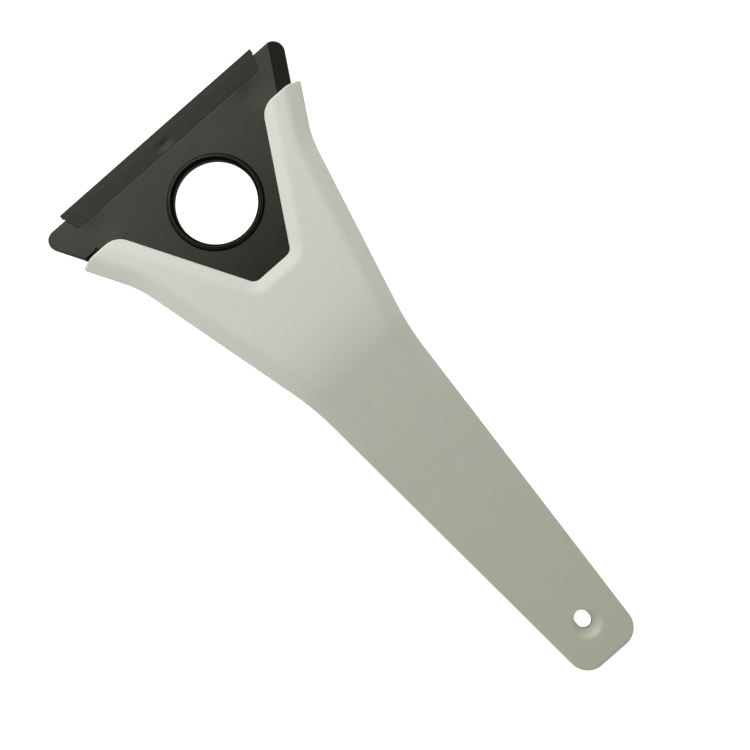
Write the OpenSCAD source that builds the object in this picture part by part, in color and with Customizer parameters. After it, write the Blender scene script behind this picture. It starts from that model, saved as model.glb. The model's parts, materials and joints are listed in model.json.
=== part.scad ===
// Ice scraper with a forked handle and a three-sided head.
// It lies face up on the lip of its rubber and the end of its grip, with the bend in the air.
// +Y points along the handle towards the head, and +Z points up from the front face.
// The origin is on the surface below the middle of its outline.

/* [Handle] */
// Length of the grip, from the bend to its end, seen from above
grip_length = 160; // [140:1:190]
// Length of the fork, from the bend to its tips, along the fork
fork_length = 99.7; // [97:0.1:110]
// Slope of the fork and head, down from the bend
head_tilt = 8; // [5:0.5:11]
// Width at the end of the grip
end_w = 29.5; // [26:0.1:36]
// Width at the waist, where the sides turn
waist_w = 50.1; // [44:0.1:54]
// Distance from the bend down to the place where the sides turn
waist_drop = 6.2; // [4:0.1:9]
// Width across the shoulders, below which the sides run in towards the waist
shoulder_w = 92.3; // [88:0.1:98]
// Thickness at the bend
waist_t = 14; // [13:0.1:16]
// Thickness of the fork across its tips
tip_t = 9.8; // [9.6:0.1:11]
// Thickness at the end of the grip
end_t = 9.4; // [9:0.1:11]
// Wall of the handle's hollow shells
wall = 2.6; // [2:0.1:3]

/* [Fork] */
// Finger hole's centre to the line of the fork's tips
tip_reach = 16.8; // [14:0.1:20]
// Finger hole's centre to the floor of the opening
floor_reach = 35.3; // [32:0.1:38]
// How far each arm reaches over the head from the side
arm_overlap = 13.2; // [11:0.1:15]
// Wall outside the head's edge along each arm
arm_wall = 3.6; // [3:0.1:5]
// How far the outer corner of a tip lies behind the tip line
tip_slant = 2.2; // [1:0.1:3]
// Width of the sloping rim round the opening
rim_w = 4.8; // [3:0.1:6]
// Depth of that slope at the opening
rim_drop = 1.5; // [1:0.1:1.8]
// Width of the sloping flank along each arm's outer side
flank_w = 6.4; // [4:0.1:7]
// Depth of that slope at the side
flank_drop = 3.1; // [2:0.1:3.3]

/* [Head] */
// Thickness of the scraper head
plate_t = 4; // [3.4:0.1:4.4]
// Finger hole's centre to the bevelled edge and to the toothed edge
edge_reach = 38.9; // [37:0.1:40.5]
// Finger hole's centre to the plate's edge behind the rubber
carrier_reach = 35.1; // [34:0.1:37]
// Radius of the head's corners
corner_r = 4.4; // [3.5:0.1:5.5]
// Width of the bevel on the straight scraping edge
bevel_w = 5.9; // [4:0.1:7]
// Thickness left at the scraping edges
edge_t = 1.6; // [1.2:0.1:2.4]
// Length of the toothed stretch
toothed_length = 78.8; // [74:0.1:80]
// Number of gaps between the teeth
tooth_gaps = 10; // [8:1:12]
// Depth of the gaps between the teeth
tooth_depth = 5.3; // [4:0.1:6]
// Distance from the finger hole's centre to each detent dish
dish_reach = 47; // [46:0.1:48.5]
// Depth of a detent dish
dish_depth = 0.8; // [0.6:0.05:1]
// Radius of a detent dish
dish_r = 5; // [4:0.1:5.4]

/* [Rubber blade] */
// How far the lip stands out past the plate
lip_out = 3.2; // [2.5:0.1:4]
// Length of the lip
lip_w = 102; // [94:0.5:104]
// Thickness at the lip's edge
lip_t = 1.8; // [1.2:0.1:2.2]
// Finger hole's centre to the inner side of the rubber's seat
seat_reach = 28.9; // [27:0.1:31]
// Depth of the rubber's seat in the plate
seat_depth = 1.6; // [1:0.1:2]
// Width of the thinner band along the lip
lip_band = 2; // [1:0.1:2.2]

/* [Finger ring] */
// Radius of the finger hole
finger_r = 17; // [15:0.1:18.5]
// Wall of the ring inside the plate
ring_wall = 1.5; // [1.2:0.1:2.2]
// Width of the ring's flanges
ring_w = 3; // [2.6:0.1:3.6]
// Height of the ring above the plate
ring_rise = 2; // [1:0.1:2.4]

/* [Hanging slot] */
// Width of the slot
slot_w = 6.1; // [5:0.1:8]
// Length of the slot
slot_length = 7.4; // [6.5:0.1:12]
// Slot's centre to the end of the grip
slot_inset = 19.8; // [16:0.1:24]
// Depth of the thumb dish beside the slot
scoop_depth = 1.3; // [0.8:0.1:1.6]
// Radius of the thumb dish
scoop_r = 6; // [5:0.1:7]

/* [Fasteners] */
// Radius of a screw's shank
screw_r = 1.45; // [1.2:0.05:1.7]
// Radius of a screw's head
screw_head_r = 2.6; // [2.4:0.05:2.8]
// Thickness of a screw's head
screw_head_t = 1.5; // [1.2:0.1:1.6]
// How far a screw bites into the front shell
screw_bite = 2.8; // [2.2:0.1:3.2]
// Material of the back shell that a screw's head clamps
clamp_t = 2.2; // [1.8:0.1:2.4]
// Thickness of the caps over the screws
plug_t = 1; // [0.8:0.1:1.1]

/* [Detent and buffer] */
// Width of the leaf spring
spring_w = 6; // [4:0.1:6]
// Thickness of the leaf spring
spring_t = 0.5; // [0.3:0.05:0.6]
// Height of the space over the head that the leaf spring lies in
spring_room = 2; // [1.8:0.1:2.2]
// Leaf spring's bend to its rivet
spring_length = 12.6; // [11:0.1:14]
// Width of the rubber buffer under the head's hidden corner
buffer_w = 8; // [6:0.1:10]
// Length of that buffer
buffer_length = 4; // [3:0.1:5]

/* [Hidden] */
$fn = 64;

// Colours, as red, green and blue shares
grey_shares = [0.65, 0.655, 0.6];
black_shares = [0.2, 0.2, 0.19];
rubber_shares = [0.13, 0.13, 0.125];
steel_shares = [0.7, 0.7, 0.72];

// Fits and small sizes
overrun = 1;
head_gap = 0.35;
face_gap = 0.35;
ring_gap = 0.1;
pin_gap = 0.05;
rest_gap = 0.3;
guide_wall = 2;
post_wall = 2;
rib_t = 1.6;
slot_wall = 2.2;
cap_inset = 0.1;
pilot_end = 0.4;

// Turn of one straight piece of a rounded corner
arc_step = 9;

// The head's two long sides lie at this angle to the handle
side_angle = 30;

// Distances along the fork from the bend
hole_far = fork_length - tip_reach;
floor_far = hole_far - floor_reach;
lip_reach = carrier_reach + lip_out;
lip_far = hole_far + lip_reach;
shoulder_reach = edge_reach + head_gap + arm_wall;
shoulder_far = hole_far + (shoulder_w / 2 * cos(side_angle) - shoulder_reach) / sin(side_angle);

// Height of the lip's front corner over the head's middle plane
lip_top = lip_t - plate_t / 2;

// The lip's far corner and the grip's end set the overall length
head_length = lip_far * cos(head_tilt) + lip_top * sin(head_tilt);
total_length = grip_length + head_length;
end_y = -total_length / 2;
waist_y = end_y + grip_length;

// The lip's back corner lies on the surface, or the fork's tips if they are thick
waist_z = max(
    lip_far * sin(head_tilt) + plate_t / 2 * cos(head_tilt),
    fork_length * sin(head_tilt) + tip_t / 2 * cos(head_tilt)
);
grip_tilt = atan2(waist_z - end_t / 2, grip_length);
grip_far = grip_length / cos(grip_tilt);
slot_y = end_y + slot_inset;

// Radii of the handle's outline, in its corners' order
floor_r = 4;
inner_tip_r = 9;
tip_r = 12;
outer_tip_r = 0.9;
shoulder_r = 45;
waist_r = 120;
end_r = 9;

// Radii of the handle's side view
bend_r = 63;
end_top_r = 3;
end_bottom_r = 1;

// Where a tip's slant begins, as a share of the line from its inner to its outer corner
slant_share = 0.7;

// Half the width between the head's long sides, at a height above the finger hole's centre
function side_x(reach, y) = (reach + y * sin(side_angle)) / cos(side_angle);

// A distance along the fork, seen from above
function plan_y(far) = waist_y + far * cos(head_tilt);

// A place in the side view: a distance along the fork and a height over its middle plane
function fork_point(far, high) = [
    waist_y + far * cos(head_tilt) + high * sin(head_tilt),
    waist_z - far * sin(head_tilt) + high * cos(head_tilt),
];

// Half the handle's thickness at a distance along the fork or the grip
function fork_half(far) = (waist_t + (tip_t - waist_t) * far / fork_length) / 2;
function grip_half(far) = (waist_t + (end_t - waist_t) * far / grip_far) / 2;

// Plane geometry on points of the form [x, y, radius], counted anticlockwise
function spot(p) = [p.x, p.y];
function unit(v) = v / norm(v);
function to_left(v) = [-v.y, v.x];
function crossed(v, w) = v.x * w.y - v.y * w.x;
function meet(p, v, q, w) = p + v * crossed(q - p, w) / crossed(v, w);
function looped(points, i) = points[(i + len(points)) % len(points)];
function way(points, i) = unit(spot(looped(points, i + 1)) - spot(looped(points, i)));

// The same outline with every side moved inwards
function inset(points, by) = [
    for (i = [0 : len(points) - 1])
        let (
            before = way(points, i - 1),
            after = way(points, i),
            here = spot(points[i]),
            p = meet(here + by * to_left(before), before, here + by * to_left(after), after),
            r = points[i].z
        )
        [p.x, p.y, r == 0 ? 0 : crossed(before, after) > 0 ? max(r - by, 0) : r + by]
];

// The same outline with its corners rounded
function soften(points) = [
    for (i = [0 : len(points) - 1])
        each round_corner(looped(points, i - 1), points[i], looped(points, i + 1))
];
function round_corner(a, b, c) = b.z == 0 ? [spot(b)] :
    let (
        u = unit(spot(a) - spot(b)),
        v = unit(spot(c) - spot(b)),
        half = acos(u * v) / 2,
        centre = spot(b) + unit(u + v) * b.z / sin(half),
        first = spot(b) + u * b.z / tan(half) - centre,
        start = atan2(first.y, first.x),
        sweep = -sign(crossed(u, v)) * (180 - 2 * half),
        steps = max(2, ceil(abs(sweep) / arc_step))
    )
    [for (k = [0 : steps]) centre + b.z * [cos(start + sweep * k / steps), sin(start + sweep * k / steps)]];

// An outline's left half, from its right half listed anticlockwise
function other_half(points) = [
    for (i = [len(points) - 1 : -1 : 0])
        [-points[i].x, points[i].y, points[i].z],
];

// The handle's outline seen from above: end, waist, shoulder, tip and opening
inner_tip_x = side_x(edge_reach - arm_overlap, tip_reach);
outer_tip_x = side_x(shoulder_reach, tip_reach - tip_slant);
handle_half = [
    [end_w / 2, end_y, end_r],
    [waist_w / 2, waist_y - waist_drop, waist_r],
    [shoulder_w / 2, plan_y(shoulder_far), shoulder_r],
    [outer_tip_x, plan_y(fork_length - tip_slant), outer_tip_r],
    [inner_tip_x + (outer_tip_x - inner_tip_x) * slant_share, plan_y(fork_length), tip_r],
    [inner_tip_x, plan_y(fork_length), inner_tip_r],
    [side_x(edge_reach - arm_overlap, -floor_reach), plan_y(floor_far), floor_r],
];
handle_outline = concat(handle_half, other_half(handle_half));

// Sides of that outline, numbered from the corner that each starts at
right_flank_sides = [1, 2];
rim_sides = [5, 6, 7];
left_flank_sides = [10, 11];

// Distance over which the flanks rise to the face again at the bend
flank_fade = 10;

// The corners of the side view, past the tips by an overrun
top_tip = fork_point(fork_length, tip_t / 2);
low_tip = fork_point(fork_length, -tip_t / 2);
top_waist = [waist_y, waist_z + waist_t / 2];
low_waist = [waist_y, waist_z - waist_t / 2];
tip_run = plate_t;
function past(a, b) = b + unit(b - a) * tip_run;

// Slopes of the fork's two faces
front_slope = atan2(top_waist.y - top_tip.y, top_tip.x - waist_y);
back_slope = atan2(low_waist.y - low_tip.y, low_tip.x - waist_y);

module in_fork() {
    translate([0, waist_y, waist_z]) rotate([-head_tilt, 0, 0]) children();
}

module in_grip() {
    translate([0, waist_y, waist_z]) rotate([grip_tilt, 0, 0]) children();
}

// The head's own frame, about the centre of the finger hole
module in_head() {
    in_fork() translate([0, hole_far, 0]) children();
}

// A side view, drawn as [y, z, radius], pushed through the whole width
module from_side(points) {
    rotate([90, 0, 90])
        linear_extrude(2 * shoulder_w, center = true)
            polygon(soften(points));
}

module from_above(points) {
    linear_extrude(2 * (waist_z + waist_t))
        polygon(soften(points));
}

function side_corner(p, r) = [p.x, p.y, r];

// One half of the handle in side view, between its middle surface and a face
module front_side_view(thin, low) {
    from_side([
        [end_y, end_t / 2 - low, 0],
        [waist_y, waist_z - low, 0],
        side_corner(past([waist_y, waist_z], fork_point(fork_length, 0)) - [0, low], 0),
        side_corner(past(top_waist, top_tip) - [0, thin], 0),
        side_corner(top_waist - [0, thin], bend_r - thin),
        [end_y, end_t - thin, thin > 0 ? 0 : end_top_r],
    ]);
}

module back_side_view(thin, high) {
    from_side([
        [end_y, thin, thin > 0 ? 0 : end_bottom_r],
        side_corner(low_waist + [0, thin], bend_r + thin),
        side_corner(past(low_waist, low_tip) + [0, thin], 0),
        side_corner(past([waist_y, waist_z], fork_point(fork_length, 0)) + [0, high], 0),
        [waist_y, waist_z + high, 0],
        [end_y, end_t / 2 + high, 0],
    ]);
}

// The space over a plane that slopes down to one side of the outline, in a face's own frame
module over_slope(flat, side, width, drop) {
    inner = inset(flat, width);
    corner = spot(looped(inner, side));
    along = way(flat, side);
    translate([corner.x, corner.y, 0])
        rotate([0, 0, atan2(along.y, along.x)])
            rotate([atan2(drop, width), 0, 0])
                translate([-total_length, -total_length, 0])
                    cube([3 * total_length, total_length, total_length]);
}

// The space over the plane in which the flanks end at the bend
module over_fade() {
    rotate([-atan2(flank_drop, flank_fade), 0, 0])
        translate([-total_length, -total_length, 0])
            cube([2 * total_length, 2 * total_length, total_length]);
}

// What the two flanks and the rim of the opening take off a face
module face_cuts(slope) {
    flat = [for (p = handle_outline) [p.x, (p.y - waist_y) / cos(slope), p.z]];
    for (sides = [right_flank_sides, left_flank_sides])
        intersection() {
            over_slope(flat, sides[0], flank_w, flank_drop);
            over_slope(flat, sides[1], flank_w, flank_drop);
            over_fade();
        }
    intersection() {
        over_slope(flat, rim_sides[0], rim_w, rim_drop);
        over_slope(flat, rim_sides[1], rim_w, rim_drop);
        over_slope(flat, rim_sides[2], rim_w, rim_drop);
    }
}

module front_form() {
    difference() {
        intersection() {
            from_above(handle_outline);
            front_side_view(0, 0);
        }
        translate([0, waist_y, top_waist.y])
            rotate([-front_slope, 0, 0])
                face_cuts(front_slope);
    }
}

module back_form() {
    difference() {
        intersection() {
            from_above(handle_outline);
            back_side_view(0, 0);
        }
        translate([0, waist_y, low_waist.y])
            rotate([-back_slope, 0, 0])
                mirror([0, 0, 1])
                    face_cuts(back_slope);
    }
}

// The pocket that the head slides into, open at the tips
module head_pocket(grow, height) {
    top = tip_reach + 2 * tip_run;
    reach = edge_reach + grow;
    in_head()
        linear_extrude(height, center = true)
            polygon(soften([
                [0, -reach / sin(side_angle), corner_r + grow],
                [side_x(reach, top), top, 0],
                [-side_x(reach, top), top, 0],
            ]));
}

// The rubber buffer lies behind the head's hidden corner
buffer_far = hole_far - edge_reach / sin(side_angle) + corner_r / sin(side_angle) - corner_r - rest_gap;

// Places of the screws: one beside each guide of the head, and three along the grip
guide_reach = edge_reach + head_gap + guide_wall;
post_r = screw_r + post_wall;
fork_screw_far = 40.4;
fork_screw_x = side_x(guide_reach, fork_screw_far - hole_far) + post_r / cos(side_angle);
waist_screw_back = 17.2;
waist_screw_far = waist_screw_back - (buffer_far - buffer_length);
grip_screw_share = 0.38;
tail_screw_share = 0.68;
rib_shares = [0.21, 0.54, 0.79];
counterbore_r = screw_head_r + rest_gap;

module at_fork_screw(side) {
    in_fork() translate([side * fork_screw_x, fork_screw_far, 0]) children();
}

module at_grip_screw(far) {
    in_grip() translate([0, -far, 0]) children();
}

module at_screws() {
    for (side = [-1, 1])
        at_fork_screw(side) children();
    for (far = [waist_screw_far, grip_screw_share * grip_far, tail_screw_share * grip_far])
        at_grip_screw(far) children();
}

// A slot seen from above, widened by a margin
module slot_column(margin) {
    r = slot_w / 2 + margin;
    half = (slot_length - slot_w) / 2;
    translate([0, slot_y, 0]) {
        for (end = [-1, 1])
            translate([0, end * half, -overrun])
                cylinder(r = r, h = waist_z + waist_t);
        translate([-r, -half, -overrun])
            cube([2 * r, 2 * half, waist_z + waist_t]);
    }
}

// What stays solid inside the shells: the head's guides, screw posts, ribs and the slot's wall
module solid_inside() {
    head_pocket(head_gap + guide_wall, 2 * waist_t);
    at_screws()
        cylinder(r = counterbore_r + post_wall, h = 2 * waist_t, center = true);
    for (share = rib_shares)
        translate([-end_w, waist_y - share * grip_length - rib_t / 2, 0])
            cube([2 * end_w, rib_t, waist_z + waist_t]);
    slot_column(slot_wall);
    scoop_keep();
}

// A shallow round dish below the plane z = 0, whose curve runs on past its rim
dish_shares = [0, 0.45, 0.8, 1.3];

module dish(radius, depth) {
    rotate_extrude()
        polygon(concat(
            [for (share = dish_shares) [radius * share, depth * (share * share - 1)]],
            [[0, depth * (dish_shares[3] * dish_shares[3] - 1)]]
        ));
}

// The thumb dish towards the end of the grip
scoop_y = slot_y - slot_length / 2;
scoop_slope = atan2(top_waist.y - end_t, grip_length);
function grip_top(y) = end_t + (y - end_y) * tan(scoop_slope);

module scoop_cut() {
    translate([0, scoop_y, grip_top(scoop_y)])
        rotate([scoop_slope, 0, 0])
            dish(scoop_r, scoop_depth);
}

module scoop_keep() {
    translate([0, scoop_y, 0])
        cylinder(r = scoop_r + slot_wall, h = waist_z + waist_t);
}

module slide_space() {
    head_pocket(head_gap, plate_t + 2 * face_gap);
}

module buffer_block() {
    in_fork()
        translate([0, buffer_far - buffer_length / 2, 0])
            cube([buffer_w, buffer_length, plate_t + 2 * face_gap], center = true);
}

// The leaf spring lies in a space over the head, above the hidden corner's dish
spring_roof = plate_t / 2 + face_gap + spring_room;
spring_far = hole_far - dish_reach;
rivet_far = spring_far - spring_length;
rivet_r = 1;
rivet_head_r = 2;
rivet_head_t = 0.8;
rivet_bite = 1.4;
spring_foot = rivet_head_r + spring_t;
spring_tail = 6;
spring_bend_r = 1.5;
spring_tail_share = 0.6;

module spring_space() {
    far_low = rivet_far - spring_foot - overrun;
    far_high = spring_far + spring_tail + overrun;
    in_fork() {
        translate([-spring_w / 2 - rest_gap, far_low, 0])
            cube([spring_w + 2 * rest_gap, far_high - far_low, spring_roof]);
        translate([0, rivet_far, 0])
            cylinder(r = rivet_r + pin_gap, h = spring_roof + rivet_bite + pin_gap);
    }
}

module front_shell() {
    color(grey_shares)
        difference() {
            front_form();
            difference() {
                intersection() {
                    from_above(inset(handle_outline, wall));
                    front_side_view(wall, overrun);
                }
                solid_inside();
            }
            slide_space();
            spring_space();
            buffer_block();
            slot_column(0);
            scoop_cut();
            at_screws()
                translate([0, 0, -overrun])
                    cylinder(r = screw_r + pin_gap, h = overrun + screw_bite + pilot_end);
        }
}

module back_shell() {
    color(grey_shares)
        difference() {
            back_form();
            difference() {
                intersection() {
                    from_above(inset(handle_outline, wall));
                    back_side_view(wall, overrun);
                }
                solid_inside();
            }
            slide_space();
            buffer_block();
            slot_column(0);
            at_screws() {
                translate([0, 0, -waist_t])
                    cylinder(r = counterbore_r, h = waist_t - clamp_t);
                translate([0, 0, -waist_t])
                    cylinder(r = screw_r + 2 * ring_gap, h = waist_t + overrun);
            }
        }
}

// An edge of the head: local x points outwards and local y runs along the edge
module at_edge(turn) {
    rotate([0, 0, turn]) translate([edge_reach, 0, 0]) children();
}

// What the bevel takes off an edge's front, over a length
module bevel_cut(width, length) {
    fall = (plate_t - edge_t) / width;
    rotate([90, 0, 0])
        linear_extrude(length, center = true)
            polygon([
                [-width, plate_t / 2],
                [overrun, plate_t / 2 - fall * (width + overrun)],
                [overrun, plate_t],
                [-width, plate_t],
            ]);
}

tooth_gap_share = 0.46;
tooth_land = 0.8;
tooth_bevel_length = 85.8;
tooth_root_share = 0.62;
tooth_pitch = toothed_length / (tooth_gaps - 1 + tooth_gap_share);

// One gap between two teeth, wider at the edge
module tooth_gap() {
    half = tooth_pitch * tooth_gap_share / 2;
    linear_extrude(2 * plate_t, center = true)
        polygon([
            [-tooth_depth, -half * tooth_root_share],
            [overrun, -half],
            [overrun, half],
            [-tooth_depth, half * tooth_root_share],
        ]);
}

// The rubber's seat: a shallow tray with slanted ends
seat_end_angle = 18;
seat_corner_r = 2;
seat_half_w = lip_w / 2 - lip_band / 4;

function seat_points(top) = [
    [seat_half_w - (top - seat_reach) * tan(seat_end_angle), seat_reach, seat_corner_r],
    [seat_half_w, top, 0],
    [-seat_half_w, top, 0],
    [-seat_half_w + (top - seat_reach) * tan(seat_end_angle), seat_reach, seat_corner_r],
];

module seat_space(top, over) {
    translate([0, 0, plate_t / 2 - seat_depth])
        linear_extrude(seat_depth + over)
            polygon(soften(seat_points(top)));
}

module head_plate() {
    outline = [
        [0, -edge_reach / sin(side_angle), corner_r],
        [side_x(edge_reach, carrier_reach), carrier_reach, corner_r],
        [-side_x(edge_reach, carrier_reach), carrier_reach, corner_r],
    ];
    color(black_shares)
        in_head()
            difference() {
                linear_extrude(plate_t, center = true)
                    polygon(soften(outline));
                cylinder(r = finger_r + ring_wall + ring_gap, h = 2 * plate_t, center = true);
                at_edge(-side_angle)
                    bevel_cut(bevel_w, 4 * edge_reach);
                at_edge(side_angle - 180) {
                    bevel_cut(tooth_depth + tooth_land, tooth_bevel_length);
                    for (i = [0 : tooth_gaps - 1])
                        translate([0, (i - (tooth_gaps - 1) / 2) * tooth_pitch, 0])
                            tooth_gap();
                }
                intersection() {
                    seat_space(carrier_reach, overrun);
                    translate([-lip_w, 0, 0])
                        cube([2 * lip_w, carrier_reach + overrun, plate_t]);
                }
                for (turn = [-90, 30, 150])
                    rotate([0, 0, turn])
                        translate([dish_reach, 0, plate_t / 2])
                            dish(dish_r, dish_depth);
            }
}

// Depth of the step at the thin band, as a share of the plate
lip_step_share = 0.25;

module squeegee_blade() {
    color(rubber_shares)
        in_head() {
            seat_space(carrier_reach, 0);
            rotate([90, 0, 90])
                linear_extrude(lip_w, center = true)
                    polygon([
                        [carrier_reach, -plate_t / 2],
                        [lip_reach, -plate_t / 2],
                        [lip_reach, lip_top],
                        [lip_reach - lip_band, plate_t / 2 - lip_step_share * plate_t],
                        [lip_reach - lip_band, plate_t / 2],
                        [carrier_reach, plate_t / 2],
                    ]);
        }
}

// The upper flange from its foot round to the hole, as shares of its width and of its height
flange_shares = [[1, 0], [1, 0.45], [0.86, 0.8], [0.58, 1], [0.2, 1], [0, 0.8]];

module finger_ring() {
    base = plate_t / 2;
    half = concat(
        [[finger_r + ring_wall, base]],
        [for (share = flange_shares) [finger_r + ring_w * share.x, base + ring_rise * share.y]]
    );
    color(black_shares)
        in_head()
            rotate_extrude()
                polygon(concat(
                    half,
                    [for (i = [len(half) - 1 : -1 : 0]) [half[i].x, -half[i].y]]
                ));
}

module detent_spring() {
    roof = spring_roof - spring_t;
    dip = plate_t / 2 - dish_depth / 2;
    tail = dip + (roof - dip) * spring_tail_share;
    lift = spring_t;
    color(steel_shares)
        in_fork()
            difference() {
                rotate([90, 0, 90])
                    linear_extrude(spring_w, center = true)
                        polygon(soften([
                            [rivet_far - spring_foot, roof, 0],
                            [rivet_far + spring_foot, roof, spring_bend_r],
                            [spring_far, dip, spring_bend_r + spring_t],
                            [spring_far + spring_tail, tail, 0],
                            [spring_far + spring_tail, tail + lift, 0],
                            [spring_far, dip + lift, spring_bend_r],
                            [rivet_far + spring_foot, roof + lift, spring_bend_r + spring_t],
                            [rivet_far - spring_foot, roof + lift, 0],
                        ]));
                translate([0, rivet_far, 0])
                    cylinder(r = rivet_r + pin_gap, h = 2 * spring_roof);
            }
}

module detent_rivet() {
    color(steel_shares)
        in_fork()
            translate([0, rivet_far, spring_roof - spring_t]) {
                translate([0, 0, -rivet_head_t])
                    cylinder(r = rivet_head_r, h = rivet_head_t);
                cylinder(r = rivet_r, h = spring_t + rivet_bite);
            }
}

module corner_buffer() {
    color(rubber_shares) buffer_block();
}

recess_share = 0.6;
recess_w_share = 0.32;

// A screw from the back: its head bears on the clamped wall
module screw() {
    color(steel_shares)
        difference() {
            union() {
                translate([0, 0, -clamp_t - screw_head_t])
                    cylinder(r = screw_head_r, h = screw_head_t);
                translate([0, 0, -clamp_t])
                    cylinder(r = screw_r, h = clamp_t + screw_bite);
            }
            translate([0, 0, -clamp_t - screw_head_t])
                for (turn = [0, 90])
                    rotate([0, 0, turn])
                        cube([
                            2 * screw_head_r * recess_share,
                            screw_r * recess_w_share * 2,
                            2 * screw_head_t * recess_share,
                        ], center = true);
        }
}

// A cap just inside the back face, whose half thickness is given
module plug(half) {
    color(grey_shares)
        translate([0, 0, cap_inset - half])
            cylinder(r = counterbore_r - pin_gap, h = plug_t);
}

module fork_screw_left() {
    at_fork_screw(-1) screw();
}

module fork_screw_right() {
    at_fork_screw(1) screw();
}

module waist_screw() {
    at_grip_screw(waist_screw_far) screw();
}

module grip_screw() {
    at_grip_screw(grip_screw_share * grip_far) screw();
}

module tail_screw() {
    at_grip_screw(tail_screw_share * grip_far) screw();
}

module fork_plug_left() {
    at_fork_screw(-1) plug(fork_half(fork_screw_far));
}

module fork_plug_right() {
    at_fork_screw(1) plug(fork_half(fork_screw_far));
}

module waist_plug() {
    at_grip_screw(waist_screw_far) plug(grip_half(waist_screw_far));
}

module grip_plug() {
    at_grip_screw(grip_screw_share * grip_far) plug(grip_half(grip_screw_share * grip_far));
}

module tail_plug() {
    at_grip_screw(tail_screw_share * grip_far) plug(grip_half(tail_screw_share * grip_far));
}

front_shell();
back_shell();
head_plate();
squeegee_blade();
finger_ring();
detent_spring();
detent_rivet();
corner_buffer();
fork_screw_left();
fork_screw_right();
waist_screw();
grip_screw();
tail_screw();
fork_plug_left();
fork_plug_right();
waist_plug();
grip_plug();
tail_plug();
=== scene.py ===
"""Dresses a forked ice scraper: its two grey shells, the black head with its rubber, the finger ring,
the caps over the screws, and a pale stage seen from straight above.

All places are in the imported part's frame, in metres: +Y points along the handle towards the head, +Z up."""

import json
import math

import bmesh
import bpy
import numpy as np
from bpy.props import FloatProperty, FloatVectorProperty, IntProperty, PointerProperty
from mathutils import Matrix, Vector


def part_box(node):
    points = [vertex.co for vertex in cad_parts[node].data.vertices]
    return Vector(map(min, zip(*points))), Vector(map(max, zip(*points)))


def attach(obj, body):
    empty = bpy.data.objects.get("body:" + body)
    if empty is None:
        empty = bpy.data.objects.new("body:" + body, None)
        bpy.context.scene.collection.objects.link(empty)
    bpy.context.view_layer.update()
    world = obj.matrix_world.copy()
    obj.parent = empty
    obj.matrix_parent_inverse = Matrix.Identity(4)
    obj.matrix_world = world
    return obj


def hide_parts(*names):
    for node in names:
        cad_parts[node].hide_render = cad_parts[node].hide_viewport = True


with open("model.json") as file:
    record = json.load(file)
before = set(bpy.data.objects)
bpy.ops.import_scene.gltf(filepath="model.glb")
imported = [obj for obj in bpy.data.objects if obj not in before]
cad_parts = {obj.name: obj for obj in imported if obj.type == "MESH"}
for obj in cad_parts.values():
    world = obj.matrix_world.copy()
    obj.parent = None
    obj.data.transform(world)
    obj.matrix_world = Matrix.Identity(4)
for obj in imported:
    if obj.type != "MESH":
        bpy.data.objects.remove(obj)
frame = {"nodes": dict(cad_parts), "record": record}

bl_info = {
    "name": "Ice Scraper",
    "version": (1, 0, 0),
    "blender": (4, 5, 0),
    "location": "View3D > Sidebar > Ice Scraper",
    "description": "Dresses a forked ice scraper and sets its stage",
    "category": "Add Mesh",
}

MM = 0.001

MOUNTS = {mount["name"]: mount for mount in frame["record"]["mounts"]}
HOLE = Vector(MOUNTS["finger_hole"]["pos_m"])
HEAD_TILT = math.atan2(MOUNTS["finger_hole"]["axis"][1], MOUNTS["finger_hole"]["axis"][2])
SLOT_Y = MOUNTS["hanging_slot"]["pos_m"][1]
END_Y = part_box("front_shell")[0].y

# The head's two long sides lie at this angle to the handle
SIDE_ANGLE = math.radians(30)

# Largest turn and largest length of one straight piece of a rounded corner
ARC_STEP = math.radians(6)
ARC_CHORD = 1.5 * MM

# Edges that turn by more than this are drawn sharp
SHARP_ANGLE = math.radians(40)

# Points closer than this are one point
JOIN = 1e-7

# Width of the steep wall at the lip's step
STEP_WALL = 100 * JOIN

# Sides of the finger hole, the ring, the caps and the bores
HOLE_SIDES = 96
RING_SIDES = 128
CAP_SIDES = 48
BORE_SIDES = 64

# What a single letter in a property's key stands for
LETTERS = {"h": "height", "r": "radius", "t": "thickness", "w": "width"}


def length(size, description):
    """A length that a user can change. Its default is given in millimetres."""
    return FloatProperty(description=description, default=size * MM, min=0.0, precision=5, unit="LENGTH")


def angle(degrees, description):
    """An angle that a user can change. Its default is given in degrees."""
    return FloatProperty(description=description, default=math.radians(degrees), subtype="ANGLE")


def colour(default, description):
    """A linear colour that a user can change."""
    return FloatVectorProperty(description=description, default=default, min=0.0, max=1.0, subtype="COLOR")


def named(group):
    """Names each property of a group after its key."""
    for key, prop in group.__annotations__.items():
        words = [LETTERS.get(word, word) for word in key.split("_")]
        prop.keywords["name"] = " ".join(words).capitalize()
    return group


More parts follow.
